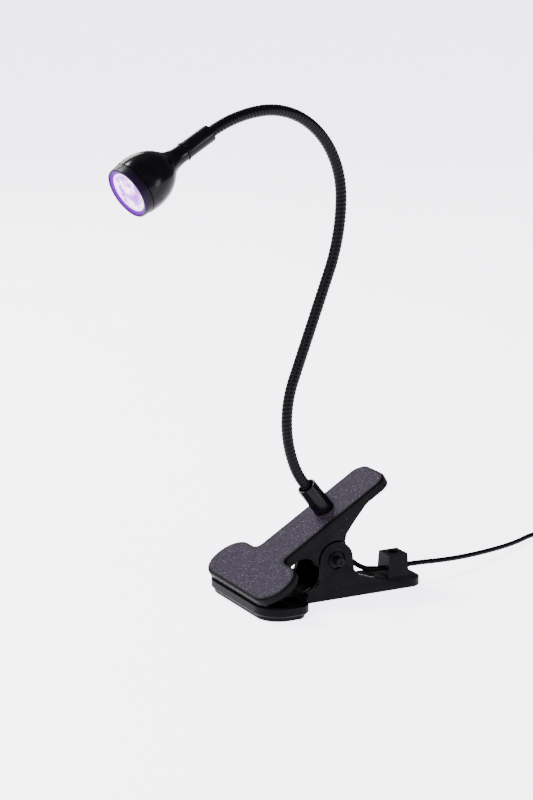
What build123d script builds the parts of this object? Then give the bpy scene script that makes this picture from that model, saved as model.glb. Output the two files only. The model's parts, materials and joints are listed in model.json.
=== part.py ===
from build123d import *
from math import cos, pi, radians, sin, sqrt, tan
import os

# UV curing lamp: spring clip, bendable arm, small round head and a USB lead. Millimetres, +Z up.
# The origin is on the table, straight under the clip's pivot pin. The tail points along +X.

# ---- driving sizes -------------------------------------------------------------------------
BODY_W = 30.0            # width of the clip's body, handle and tail
PIVOT_Z = 22.0           # height of the pivot pin
EAR_R = 10.0             # round ears of the lower half
PIN_R = 2.6
TAIL_X = 55.2            # end of the tail
CHEEK_T = 2.7            # side walls of the lower half
FLOOR_T = 3.4
TAIL_T = 4.4             # thicker end of the tail, under the post
TAIL_CORNER = 8.0
CHEEK_FRONT = -17.4      # front edge of the side walls
TRAY_RIM_Z = 7.3         # lower jaw, height of its rim
TRAY_FRONT_X = -54.8
TRAY_HALF_W = 38.3
BAND_Z = 2.2             # the jaw's lower band is this tall
BAND_INSET = 1.7         # and stands this much behind the rim
SLOPE = 31.4             # upper half's rise towards the handle's end, degrees
PLATE_TOP_Z = 46.2       # upper plate's top face, straight above the pivot
PLATE_T = 4.0
JAW_L = 27.0             # upper jaw, along the plate
JAW_W = 77.0
JAW_FRONT = 65.8         # pivot line to the jaw's front edge, along the plate
HANDLE_END = 37.0        # pivot line to the handle's end, along the plate
HANDLE_CORNER = 8.0
EDGE_ROUND = 1.3         # the plate's top edges
RAIL_DEPTH = 5.2         # the handle's thicker side edges
PIPE_R = 9.5             # round gap behind the jaw, for pipes and rods
PIPE_AT = (-19.8, 15.8)
PIPE_STEP = 1.1          # the lower half is cut this much wider round the gap
POST_AT = (39.3, -7.8)   # cord post on the tail
POST_FOOT_Z = 6.6
POST_TOP_Z = 19.4
FERRULE_R = 5.7
FERRULE_L = 18.5
FERRULE_LEAN = 128.0     # direction of the ferrule, degrees from +X
HOSE_R = 3.0
WIRE_R = 1.5             # lead inside the hose
HINGE_COUNT = 8          # bends that stand for the hose's flexing
HEAD_YAW = 9.6           # the arm's top is turned this much towards -Y, degrees
SLEEVE_L = 16.9
SLEEVE_R = 4.65
SEAM_Z = 31.6            # seam between neck and ball, from the sleeve's rear end
BALL_R = 14.6
BALL_Z = 47.5            # widest place of the head
BALL_STRETCH = 20.0      # the ball's half length, if it went on to a point
HEAD_L = 56.8
BEZEL_L = 5.2
LENS_T = 1.6
SCREW_ANGLES = (22.5, 202.5)
CORD_R = 1.4
CORD_Z = 11.1            # the cord's height through the post
COIL_AT = (200.0, 2.0)
COIL_R = 15.5            # middle of the coil's turns
COIL_ROWS = 2
COIL_COLUMNS = 6

# ---- clearances ----------------------------------------------------------------------------
GAP = 0.3                # between bodies that move
RUN = 0.05               # running fit, radial

HALF = BODY_W / 2
CHEEK_IN = HALF - CHEEK_T
LUG_OUT = CHEEK_IN - GAP
LUG_IN = LUG_OUT - 2.3
POCKET_R = EAR_R + 3 * GAP

nodes = {}


def disc_y(x, z, r, y0, y1):
    """Cylinder along Y between y0 and y1."""
    plane = Plane(origin=(x, y0, z), x_dir=(1, 0, 0), z_dir=(0, 1, 0))
    return plane * Cylinder(r, y1 - y0, align=(Align.CENTER, Align.CENTER, Align.MIN))


def slab_y(points, y0, y1):
    """Outline given as (x, z) points, from y0 to y1."""
    plane = Plane(origin=(0, y1, 0), x_dir=(1, 0, 0), z_dir=(0, -1, 0))
    return extrude(plane * make_face(Polyline(*points, close=True)), y1 - y0)


def block(x0, x1, y0, y1, z0, z1):
    return Pos((x0 + x1) / 2, (y0 + y1) / 2, (z0 + z1) / 2) * Box(x1 - x0, y1 - y0, z1 - z0)


def both_sides(shape):
    return shape + mirror(shape, Plane.XZ)


def along(origin, direction, shape, roll=(0, 1, 0)):
    """Put a shape made along +Z onto a line, keeping the roll direction as its local Y."""
    z = Vector(*direction).normalized()
    x = Vector(*roll).cross(z).normalized()
    return Plane(origin=origin, x_dir=x, z_dir=z) * shape


def rod(r, z0, z1):
    return Pos(0, 0, z0) * Cylinder(r, z1 - z0, align=(Align.CENTER, Align.CENTER, Align.MIN))


def tube(r_out, r_in, z0, z1):
    return rod(r_out, z0, z1) - rod(r_in, z0 - 1, z1 + 1)


def turned(points):
    """Solid of revolution about Z from (r, z) points."""
    return revolve(make_face(Polyline(*[(r, 0, z) for r, z in points], close=True)), Axis.Z)


# ---- the upper half's own frame: x along the plate, z out of its top face --------------------
S, C = sin(radians(SLOPE)), cos(radians(SLOPE))
plate = Plane(origin=(0, 0, PLATE_TOP_Z), x_dir=(C, 0, S), z_dir=(-S, 0, C))


def under_plate(x, depth=PLATE_T):
    """Height at x of the plane that lies this deep under the plate's top face."""
    return PLATE_TOP_Z + (x * S - depth) / C


ferrule_dir = Vector(cos(radians(FERRULE_LEAN)), 0, sin(radians(FERRULE_LEAN)))
ferrule_base = Vector(0.6, 0, under_plate(0.6, 0))
SEAT = 0.8               # the ferrule and its nut sit this deep in spot faces
NUT_FACE = PLATE_T - SEAT


def lever_outline():
    jaw = Pos(JAW_L / 2 - JAW_FRONT, 0) * RectangleRounded(JAW_L, JAW_W, 13)
    rear = JAW_L - JAW_FRONT
    bend = 4.0
    for side in (-1, 1):
        corner = Pos(rear + bend / 2, side * (BODY_W + bend) / 2) * Rectangle(bend, bend)
        jaw += corner - Pos(rear + bend, side * (HALF + bend)) * Circle(bend)
    long = HANDLE_END - rear + 10
    handle = Pos(HANDLE_END - long / 2, 0) * RectangleRounded(long, BODY_W, HANDLE_CORNER)
    start = Pos(rear, 0) * Rectangle(10, BODY_W)
    return jaw + handle + start


def side_wall_points():
    """The upper half's side wall, from under the plate down to the ear."""
    front = PIPE_AT[0] - 4.2
    points = [(front, under_plate(front, 2)), (27.5, under_plate(27.5, 3)), (24.5, 56.2)]
    points += [(17.5, 50.0), (10.5, 41.5), (6.4, 36.0), (5.0, 31.0), (0, PIVOT_Z)]
    points += [(-8, PIVOT_Z - 2.5), (-13, PIVOT_Z - 2.5), (front, PIPE_AT[1])]
    return points


def upper_lever():
    body = plate * extrude(lever_outline(), -PLATE_T)
    body = fillet(body.faces().sort_by(Axis(plate.origin, plate.z_dir))[-1].edges(), EDGE_ROUND)
    neck_x = JAW_L - JAW_FRONT + 5
    rail_l = HANDLE_END - neck_x
    rail_face = Pos(neck_x + rail_l / 2, 0) * RectangleRounded(rail_l, BODY_W, HANDLE_CORNER)
    rail_face += Pos(neck_x + HANDLE_CORNER / 2, 0) * Rectangle(HANDLE_CORNER, BODY_W)
    rail_face -= Pos(neck_x + rail_l / 2 - 2.4, 0) * Rectangle(rail_l - 0.4, BODY_W - 4.4)
    body += plate * (Pos(0, 0, -RAIL_DEPTH) * extrude(rail_face, RAIL_DEPTH - EDGE_ROUND - 0.2))
    walls = slab_y(side_wall_points(), LUG_IN, HALF - 0.4)
    walls += disc_y(0, PIVOT_Z, EAR_R - 1.5, LUG_IN, LUG_OUT)
    walls -= disc_y(*PIPE_AT, PIPE_R, LUG_IN - 1, HALF + 1)
    walls -= disc_y(0, PIVOT_Z, POCKET_R, LUG_OUT, HALF + 1)
    body += both_sides(walls)
    body -= disc_y(0, PIVOT_Z, PIN_R + RUN, -HALF, HALF)
    for y in (-14, 14):
        rib_end = 10 - JAW_FRONT + JAW_L
        body += plate * block(8 - JAW_FRONT, rib_end, y - 0.8, y + 0.8, -PLATE_T - 2.2, -PLATE_T + 1)
    cutter = rod(FERRULE_R + 0.05, -SEAT, 6) + rod(7.2, -NUT_FACE - 14, -NUT_FACE)
    cutter += rod(4.05, -12, 6)
    return body - along(ferrule_base, ferrule_dir, cutter)


def upper_pad():
    face = Rectangle(16, JAW_W - 14) - Pos(-6, 0) * Rectangle(2, 10)
    pad = Pos(10 - JAW_FRONT, 0, -PLATE_T - 1.1) * extrude(face, 1.1)
    slots = [Pos(22 - JAW_FRONT, y, -PLATE_T) * Box(30, 2.2, 10) for y in (-14, 14)]
    for slot in slots:
        pad -= slot
    return plate * pad


# ---- lower half ----------------------------------------------------------------------------
SCREW_SEAT = CORD_Z + 3.4    # the clamp screw's head sits on this


def rounded_tray(inset=0.0):
    """The jaw's outline: broad in front, its rear edges leaning in to a neck under the clip's body."""
    x0, rear, waist, x1 = TRAY_FRONT_X + inset, -28.6 - inset, -20.6 - inset, -13.0
    w, neck = TRAY_HALF_W - inset, 11.0 - inset / 2
    points = [(x0, -w), (rear, -w), (waist, -neck), (x1, -neck)]
    points += [(x, -y) for x, y in reversed(points)]
    face = make_face(Polyline(*points, close=True))
    front = face.vertices().sort_by(Axis.X)[:2]
    face = fillet(front, 15 - inset)
    side = [v for v in face.vertices() if abs(v.X - rear) < 0.01]
    return fillet(side, 7 - inset)


def jaw_tray():
    rim = extrude(rounded_tray(), TRAY_RIM_Z - BAND_Z)
    rim = chamfer(rim.faces().sort_by(Axis.Z)[0].edges(), 1.2)
    band = extrude(rounded_tray(BAND_INSET), BAND_Z + 0.5)
    tray = Pos(0, 0, BAND_Z) * rim + chamfer(band.faces().sort_by(Axis.Z)[0].edges(), 0.6)
    hollow = Pos(0, 0, 2.2) * extrude(rounded_tray(BAND_INSET + 1.8), TRAY_RIM_Z)
    hollow -= block(TRAY_FRONT_X, -46, -26, 26, 0, TRAY_RIM_Z - 1.0)
    hollow -= both_sides(block(-38.5, -10, 17.5, TRAY_HALF_W, 0, TRAY_RIM_Z + 5))
    for y in (-17, 17):
        hollow -= block(-46, -18, y - 0.9, y + 0.9, 0, TRAY_RIM_Z - 1.6)
    hollow -= block(-38.7, -36.9, -TRAY_HALF_W, TRAY_HALF_W, 0, TRAY_RIM_Z - 1.6)
    pocket = Pos(-33.4, 26, 2.2) * extrude(RectangleRounded(8.0, 11.4, 3.9), TRAY_RIM_Z)
    return tray - hollow - both_sides(pocket) - pad_strip(5)


def cheek_points():
    front, step_z = CHEEK_FRONT, 17.6
    points = [(front, 0), (TAIL_X - TAIL_CORNER, 0), (TAIL_X - TAIL_CORNER, TAIL_T), (43, TAIL_T)]
    points += [(33.4, 5.8), (25.6, 8.1), (14.3, 11.7), (10.9, 15), (EAR_R, PIVOT_Z)]
    return points + [(-EAR_R, PIVOT_Z), (-11.0, step_z), (front, step_z)]


def lower_clip():
    length = TAIL_X - CHEEK_FRONT
    base = Pos(TAIL_X - length / 2, 0) * RectangleRounded(length, BODY_W, TAIL_CORNER)
    base += Pos(CHEEK_FRONT + TAIL_CORNER / 2, 0) * Rectangle(TAIL_CORNER, BODY_W)
    body = extrude(base, FLOOR_T)
    tail = Pos(TAIL_X - 11, 0) * RectangleRounded(22, BODY_W, TAIL_CORNER)
    tail += Pos(TAIL_X - 22 + TAIL_CORNER / 2, 0) * Rectangle(TAIL_CORNER, BODY_W)
    body += extrude(tail, TAIL_T)
    cheek = slab_y(cheek_points(), CHEEK_IN, HALF) + disc_y(0, PIVOT_Z, EAR_R, CHEEK_IN, HALF)
    body += both_sides(cheek)
    body -= block(13, TAIL_X - 22, CHEEK_IN - 1, HALF + 1, FLOOR_T, 12)
    body += jaw_tray()
    body -= disc_y(*PIPE_AT, PIPE_R + PIPE_STEP, -HALF, HALF)
    body -= both_sides(disc_y(0, PIVOT_Z, 5.2, HALF - 1.2, HALF + 1))
    body -= disc_y(0, PIVOT_Z, PIN_R, -HALF, HALF)
    body += cord_post()
    x, y = POST_AT
    body -= Pos(x, y, 0) * (rod(2.9, SCREW_SEAT, 30) + rod(1.5, CORD_Z, SCREW_SEAT + 1))
    hole = Plane(origin=(30, y, CORD_Z), x_dir=(0, 1, 0), z_dir=(1, 0, 0)) * rod(CORD_R, -2, 20)
    return body - hole


def cord_post():
    """Tapered post on a plinth that widens towards the tail."""
    x, y = POST_AT
    plinth = [Plane(origin=(x - 1.0, y, TAIL_T - 0.4)) * Rectangle(15.6, 14.3),
              Plane(origin=(x, y, POST_FOOT_Z)) * Rectangle(13.4, 13.2)]
    post = [Plane(origin=(x, y, POST_FOOT_Z - 0.4)) * Rectangle(12.8, 12.8),
            Plane(origin=(x, y, POST_TOP_Z)) * Rectangle(11.4, 11.8)]
    return loft([f.face() for f in plinth]) + loft([f.face() for f in post])


def pad_strip(height):
    return Pos(-50.4, 0, TRAY_RIM_Z - 1.0) * extrude(RectangleRounded(4.4, 46, 1), height)


def lower_pad():
    strip = pad_strip(0.9)
    for y in range(-20, 21, 4):
        strip -= block(-60, -40, y - 0.4, y + 0.4, TRAY_RIM_Z - 0.5, TRAY_RIM_Z + 1)
    return strip


def clamp_screw():
    x, y = POST_AT
    head = rod(2.6, SCREW_SEAT, SCREW_SEAT + 2) - block(-3, 3, -0.4, 0.4, SCREW_SEAT + 1.2, SCREW_SEAT + 3)
    return Pos(x, y, 0) * (head + rod(1.5, CORD_Z + CORD_R, SCREW_SEAT + 0.2))


def pivot_pin():
    return disc_y(0, PIVOT_Z, PIN_R, -HALF - 4.6, HALF + 4.6)


def pin_rings():
    ring = disc_y(0, PIVOT_Z, 4.2, HALF - 1.2, HALF - 0.5) - disc_y(0, PIVOT_Z, PIN_R, 0, HALF + 1)
    return both_sides(ring)


def torsion_spring():
    wire, turns, mean_r, y0 = 0.8, 3.5, 5.0, 0.6
    pitch = 2 * wire + 0.15
    coil_plane = Plane(origin=(0, y0, PIVOT_Z), x_dir=(0, 0, -1), z_dir=(0, 1, 0))
    path = coil_plane * Helix(pitch, pitch * turns, mean_r)
    start, end = path @ 0, path @ 1
    section = Plane(origin=start, z_dir=path % 0) * Circle(wire)
    spring = sweep(section, path, is_frenet=True)
    floor_z = FLOOR_T + wire + 0.2
    legs = [(start, Vector(26, y0, floor_z)),
            (end, Vector(21, end.Y, under_plate(21) - wire - 1.0))]
    for a, b in legs:
        spring += Pos(a.X, a.Y, a.Z) * Sphere(wire + 0.03)
        spring += Plane(origin=a, z_dir=b - a) * rod(wire, 0, (b - a).length)
    return spring


# ---- hose ----------------------------------------------------------------------------------
class Route:
    """Straight runs and arcs, tangent to each other, in an upright plane that may turn once."""

    def __init__(self, x, z, heading):
        self.at, self.heading, self.side = Vector(x, 0, z), radians(heading), Vector(1, 0, 0)
        self.parts, self.length = [], 0.0

    def go(self, distance, turn=0.0):
        self.parts.append((self.length, distance, self.at, self.heading, radians(turn), self.side))
        self.length += distance
        self.at, self.heading = self.place(self.length), self.heading + radians(turn)

    def place(self, s):
        for start, distance, at, heading, turn, side in reversed(self.parts):
            if s >= start - 1e-9:
                break
        t = s - start
        if turn:
            r = distance / turn
            now = heading + t / r
            u, v = r * (sin(now) - sin(heading)), r * (cos(heading) - cos(now))
        else:
            u, v = t * cos(heading), t * sin(heading)
        return at + side * u + Vector(0, 0, v)

    def direction(self, s):
        step = 0.01
        return (self.place(min(s + step, self.length)) - self.place(max(s - step, 0))).normalized()

    def path(self, s0, s1):
        edges = []
        for start, distance, _, _, turn, _ in self.parts:
            a, b = max(s0, start), min(s1, start + distance)
            if b - a < 1e-6:
                continue
            if turn:
                edges.append(ThreePointArc(self.place(a), self.place((a + b) / 2), self.place(b)))
            else:
                edges.append(Line(self.place(a), self.place(b)))
        return Wire([e.edge() for e in edges])

    def solid(self, r, s0, s1):
        start = Plane(origin=self.place(s0), z_dir=self.direction(s0 + 0.02))
        return sweep(start * Circle(r), self.path(s0, s1))


def arc_length(radius, turn):
    return radius * radians(abs(turn))


hose_start = ferrule_base + ferrule_dir * (FERRULE_L - 13.0)
hose = Route(hose_start.X, hose_start.Z, FERRULE_LEAN)
hose.go(15.4)
for radius, turn in ((39.7, -15.6), (66.1, -42.8)):
    hose.go(arc_length(radius, turn), turn)
hose.go(59.9)
hose.go(arc_length(112.3, 20.4), 20.4)
yaw = radians(HEAD_YAW)
hose.side = Vector(cos(yaw), sin(yaw), 0)
for radius, turn in ((49.4, 92.4), (79.3, 25.2)):
    hose.go(arc_length(radius, turn), turn)
SLEEVE_S = hose.length   # where the hose goes into the head's sleeve
SOCKET_L = 10.0          # and how far
hose.go(SOCKET_L)
FIRST_HINGE = 22.0       # from the hose's lower end
hinge_step = (SLEEVE_S - 7.0 - FIRST_HINGE) / (HINGE_COUNT - 1)
hinges = [FIRST_HINGE + i * hinge_step for i in range(HINGE_COUNT)]
head_origin, head_dir = hose.place(SLEEVE_S), hose.direction(SLEEVE_S + 5)
CUP_R = HOSE_R + GAP


def hose_piece(s0, s1, cup, ball):
    """Length of hose; a cup at its lower end and a round upper end make a bend."""
    piece = hose.solid(HOSE_R, s0, s1)
    if ball:
        piece += Pos(hose.place(s1)) * Sphere(HOSE_R)
    end = s1 + (HOSE_R + 0.5 if ball else 0)
    piece -= hose.solid(WIRE_R, s0, min(end, hose.length))
    if cup:
        piece -= Pos(hose.place(s0)) * Sphere(CUP_R)
    return piece


def add_hose():
    stops = [0.0] + hinges + [hose.length]
    for i, (s0, s1) in enumerate(zip(stops, stops[1:])):
        first, last = i == 0, i == HINGE_COUNT
        name = "hose_lower_end" if first else "hose_upper_end" if last else f"hose_link_{i}"
        nodes[name] = hose_piece(s0, s1, not first, not last)
        a, b = s0 + (0 if first else HOSE_R + GAP), s1 + (0 if last else HOSE_R - GAP)
        nodes[name.replace("hose", "hose_wire")] = hose.solid(WIRE_R, a, b)
    in_ferrule = rod(WIRE_R, -7.5, FERRULE_L - 13.0)
    nodes["hose_wire_lower_end"] += along(ferrule_base, ferrule_dir, in_ferrule)


def base_ferrule():
    taper = turned([(0, -SEAT), (FERRULE_R, -SEAT), (FERRULE_R - 0.4, FERRULE_L), (0, FERRULE_L)])
    body = taper + rod(4.0, -7.5, 0)
    bore = rod(4.1, FERRULE_L - 7.0, FERRULE_L + 1) + rod(HOSE_R, FERRULE_L - 13.0, FERRULE_L)
    return along(ferrule_base, ferrule_dir, body - bore - rod(WIRE_R, -10, FERRULE_L))


def ferrule_nut():
    hexagon = extrude(RegularPolygon(6.4, 6), 2.6)
    nut = Pos(0, 0, -NUT_FACE - 3.2) * hexagon - rod(4.0, -12, 0)
    return along(ferrule_base, ferrule_dir, nut)


def nut_washer():
    return along(ferrule_base, ferrule_dir, tube(6.6, 4.0, -NUT_FACE - 0.6, -NUT_FACE))


# ---- head, made along +Z from the sleeve's rear end ------------------------------------------
RING_T = 1.2
RING_R = SLEEVE_R + 0.4
STEM_R = 3.2             # spigot that holds sleeve, ring and neck together
NECK_Z0 = SLEEVE_L + RING_T
NECK_Z1 = SEAM_Z - 1.7
NECK_R = 7.2
NECK_BORE = 5.6
BEZEL_Z = HEAD_L - BEZEL_L
SPIGOT_R = BALL_R - 1.5  # the bezel presses onto this
BORE_R = SPIGOT_R - 0.5
LENS_R = BORE_R + 0.3
WINDOW_R = LENS_R - 2.1
LIP_Z = HEAD_L - 1.2     # the lens lies against this lip
SPIGOT_Z = BEZEL_Z + 1.6
SINK_Z = 43.0            # seat of the heat sink
SINK_T = 1.8
BOARD_Z = SINK_Z + SINK_T
BOARD_T = 1.4
BOARD_R = BORE_R - 2.6
CHIP_Z = BOARD_Z + BOARD_T
DRIVER_Z = SEAM_Z + 4.0
DRIVER_T = 1.0
SCREW_R = 0.7
SCREW_OUT = BOARD_R - 2.8


def ball_radius(z):
    return BALL_R * sqrt(1 - ((z - BALL_Z) / BALL_STRETCH) ** 2)


def ball_housing():
    heights = [SEAM_Z, 37.0, SINK_Z, BALL_Z, BEZEL_Z]
    outer = Spline(*[(ball_radius(z), 0, z) for z in heights])
    throat = ball_radius(SEAM_Z) - 2.0
    rest = Polyline((ball_radius(BEZEL_Z), 0, BEZEL_Z), (SPIGOT_R, 0, BEZEL_Z), (SPIGOT_R, 0, SPIGOT_Z),
                    (BORE_R, 0, SPIGOT_Z), (BORE_R, 0, SINK_Z), (BORE_R - 1.8, 0, SINK_Z),
                    (throat, 0, SEAM_Z + 1.6), (throat, 0, SEAM_Z), (ball_radius(SEAM_Z), 0, SEAM_Z))
    return revolve(make_face(outer + rest), Axis.Z)


def neck_cone():
    slim = SLEEVE_R - 0.05
    outer = ThreePointArc((slim, 0, NECK_Z0), (slim + 0.45, 0, NECK_Z0 + 6.5), (NECK_R, 0, NECK_Z1))
    rest = Polyline((NECK_R, 0, NECK_Z1), (NECK_BORE, 0, NECK_Z1), (STEM_R + 0.2, 0, NECK_Z1 - 5.9),
                    (STEM_R, 0, NECK_Z0 + 3.1), (STEM_R, 0, NECK_Z0), (slim, 0, NECK_Z0))
    return revolve(make_face(outer + rest), Axis.Z)


def head_sleeve():
    bore = rod(HOSE_R + 0.9, -1, 2) + rod(HOSE_R, 0, SOCKET_L) + rod(WIRE_R, 0, SEAM_Z)
    sleeve = rod(SLEEVE_R, 0, SLEEVE_L) + rod(STEM_R, SLEEVE_L - 1, NECK_Z0 + 2.9)
    return chamfer(sleeve.edges().sort_by(Axis.Z)[0], 0.3) - bore


def bezel():
    side_r = BALL_R - 0.4
    front_r = side_r - 0.55
    return turned([(SPIGOT_R, BEZEL_Z), (side_r, BEZEL_Z + 0.25), (front_r, HEAD_L),
                   (front_r - 0.95, HEAD_L), (WINDOW_R, LIP_Z), (LENS_R, LIP_Z), (LENS_R, SPIGOT_Z),
                   (SPIGOT_R, SPIGOT_Z)])


def reflector():
    low, high = CHIP_Z + 1.0, SPIGOT_Z - 0.6
    rim = WINDOW_R + 0.1
    return turned([(3.6, low), (4.2, low), (rim, high), (BORE_R, high), (BORE_R, SPIGOT_Z),
                   (rim - 0.6, SPIGOT_Z)])


def led_chip():
    base = Pos(0, 0, CHIP_Z + 0.4) * Box(3.5, 3.5, 0.8)
    dome = Pos(0, 0, CHIP_Z + 0.8) * Sphere(1.5)
    return base + dome - rod(3, CHIP_Z - 6, CHIP_Z)


def at_screws(shape, out=SCREW_OUT):
    """The shape once for each screw, as a list."""
    return [Rot(0, 0, angle) * (Pos(out, 0, 0) * shape) for angle in SCREW_ANGLES]


def led_board():
    return rod(BOARD_R, BOARD_Z, CHIP_Z) - at_screws(rod(SCREW_R, SINK_Z, CHIP_Z + 1))


def heat_sink():
    sink = rod(BORE_R, SINK_Z, BOARD_Z) + rod(4.0, SINK_Z - 4.6, SINK_Z + 0.5)
    for angle in range(0, 360, 45):
        sink += Rot(0, 0, angle) * block(3.0, 9.2, -0.6, 0.6, SINK_Z - 3.5, SINK_Z + 0.5)
    sink -= at_screws(rod(SCREW_R, SINK_Z - 1, BOARD_Z + 1))
    return sink + at_screws(rod(0.8, DRIVER_Z + DRIVER_T, SINK_Z + 0.5), SCREW_OUT - 2.0)


def driver_board():
    board = rod(7.4, DRIVER_Z, DRIVER_Z + DRIVER_T)
    for x, y in ((4.5, 2), (-3.5, 3), (1, -4.5)):
        board += block(x - 1.2, x + 1.2, y - 1, y + 1, DRIVER_Z - 1.0, DRIVER_Z + 0.4)
    return board


def board_screws():
    screw = rod(SCREW_R, SINK_Z, CHIP_Z + 0.1) + rod(SCREW_R + 0.6, CHIP_Z, CHIP_Z + 0.8)
    first, second = at_screws(screw)
    return first + second


def head_pieces():
    pieces = {
        "head_sleeve": head_sleeve(),
        "sleeve_ring": tube(RING_R, STEM_R, SLEEVE_L, NECK_Z0),
        "neck_cone": neck_cone(),
        "neck_ring": turned([(NECK_BORE, NECK_Z1), (NECK_R + 0.3, NECK_Z1),
                             (ball_radius(SEAM_Z) - 0.2, SEAM_Z), (NECK_BORE, SEAM_Z)]),
        "ball_housing": ball_housing(),
        "bezel": bezel(),
        "lens": rod(LENS_R, LIP_Z - LENS_T, LIP_Z),
        "lens_gasket": tube(LENS_R, WINDOW_R + 0.4, SPIGOT_Z, LIP_Z - LENS_T),
        "reflector": reflector(),
        "led_board": led_board(),
        "led_chip": led_chip(),
        "heat_sink": heat_sink(),
        "driver_board": driver_board(),
        "board_screws": board_screws(),
        "head_lead": rod(WIRE_R, SOCKET_L, DRIVER_Z),
    }
    return {name: along(head_origin, head_dir, shape) for name, shape in pieces.items()}


# ---- cord ----------------------------------------------------------------------------------
def cord_tube(name, points):
    """Straight runs joined by tangent arcs, each as large as its two runs allow."""
    points = [Vector(*p) for p in points]
    runs = [b - a for a, b in zip(points, points[1:])]
    radii, saved = [], 0.0
    for a, b in zip(runs, runs[1:]):
        turn = radians(a.get_angle(b))
        radii.append(0.45 * min(a.length, b.length) / tan(turn / 2))
        saved += radii[-1] * (2 * tan(turn / 2) - turn)
    path = FilletPolyline(*points, radius=radii) if radii else Line(*points)
    solid = sweep(Plane(origin=points[0], z_dir=runs[0]) * Circle(CORD_R), path)
    length = sum(r.length for r in runs) - saved
    print(f"{name}: length {length:.1f}, radii {[round(r, 1) for r in radii]},",
          f"volume ratio {solid.volume / (pi * CORD_R ** 2 * length):.4f}")
    return solid, length


SWITCH_AT = (186.0, 34.0)
SWITCH_L, SWITCH_W, SWITCH_H = 36.0, 13.0, 9.0
SWITCH_CORD_Z = 2.4
COIL_Z = 0.6             # the coil lies on its tie
PLUG_X = 181.0
PLUG_Z = 3.6

loop_top = ferrule_base - ferrule_dir * 7.5
LOOP_END = 31.0
lead_points = [tuple(loop_top), tuple(loop_top - ferrule_dir * 9.0), (10.6, -4.5, 23.0),
               (14.5, -6.2, 16.4), (23.5, POST_AT[1], CORD_Z), (LOOP_END, POST_AT[1], CORD_Z)]
cord_points = [(LOOP_END, POST_AT[1], CORD_Z), (52, POST_AT[1], CORD_Z), (78, -4.0, 8.5), (106, 6.4, 5.6),
               (138, 21.3, 2.8), (159, SWITCH_AT[1], SWITCH_CORD_Z), (171, SWITCH_AT[1], SWITCH_CORD_Z)]
coil_edge = COIL_AT[0] + COIL_R + (COIL_COLUMNS - 1) * CORD_R
row_1_z = COIL_Z + CORD_R
feed_points = [(201, SWITCH_AT[1], SWITCH_CORD_Z), (210, SWITCH_AT[1], SWITCH_CORD_Z),
               (218.5, 30.5, row_1_z), (coil_edge, 21, row_1_z), (coil_edge, COIL_AT[1] + 8, row_1_z)]
plug_y = COIL_AT[1] - COIL_R - (COIL_COLUMNS - 1) * CORD_R
tail_points = [(193, plug_y, row_1_z + 2 * CORD_R), (PLUG_X - 1, plug_y, PLUG_Z)]


def add_cords():
    total = 0.0
    routes = {"lead_loop": lead_points, "cord_from_clip": cord_points, "cord_to_coil": feed_points,
              "cord_to_plug": tail_points}
    for name, points in routes.items():
        nodes[name], length = cord_tube(name, points)
        total += length
    half_width = COIL_COLUMNS * CORD_R
    height = COIL_ROWS * 2 * CORD_R
    coil = tube(COIL_R + half_width, COIL_R - half_width, COIL_Z, COIL_Z + height)
    nodes["cord_coil"] = Pos(*COIL_AT, 0) * coil
    turns = COIL_ROWS * COIL_COLUMNS - 0.75
    total += turns * 2 * pi * COIL_R
    print(f"coil turns {turns}, cord in all {total:.0f}")
    band = Box(2 * half_width + 1.2, 4, height + 1.2) - Box(2 * half_width, 6, height)
    band = Pos(COIL_R, 0, COIL_Z + height / 2) * band
    nodes["cord_tie"] = Pos(*COIL_AT, 0) * (Rot(0, 0, 150) * band) - nodes["cord_coil"]


def switch_shell(z0, z1, pocket):
    x, y = SWITCH_AT
    shell = Pos(x, y, z0) * extrude(RectangleRounded(SWITCH_L, SWITCH_W, 5), z1 - z0)
    shell -= block(x - 13, x + 13, y - 4.4, y + 4.4, *pocket)
    for end in (-1, 1):
        bore = Plane(origin=(x + end * 12, y, SWITCH_CORD_Z), x_dir=(0, 1, 0), z_dir=(end, 0, 0))
        shell -= bore * rod(CORD_R, 0, 10)
    return shell


def add_switch():
    x, y = SWITCH_AT
    split = SWITCH_H / 2
    nodes["switch_base"] = switch_shell(0, split, (1.4, SWITCH_H))
    cover = switch_shell(split, SWITCH_H, (0, SWITCH_H - 1.6))
    cover -= block(x - 5.8, x + 5.8, y - 2.0, y + 2.0, 0, SWITCH_H + 1)
    nodes["switch_cover"] = chamfer(cover.faces().sort_by(Axis.Z)[-1].outer_wire().edges(), 0.8)
    nodes["switch_contacts"] = block(x - 9, x + 9, y - 3, y + 3, 1.4, 5.2)
    flange_z = SWITCH_H - 1.6 - GAP
    slider = block(x - 5.2, x + 1.2, y - 1.7, y + 1.7, flange_z - 1, SWITCH_H + GAP + 0.2)
    slider += block(x - 6.4, x + 2.4, y - 3, y + 3, flange_z - 1.2, flange_z)
    knob = block(x - 5.6, x + 1.6, y - 2.8, y + 2.8, SWITCH_H + GAP, SWITCH_H + GAP + 1.6)
    for groove in (-3.8, -2.0, -0.2):
        knob -= block(x + groove - 0.4, x + groove + 0.4, y - 3, y + 3, SWITCH_H + GAP + 1.1, 20)
    nodes["switch_slider"] = slider + knob


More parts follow.
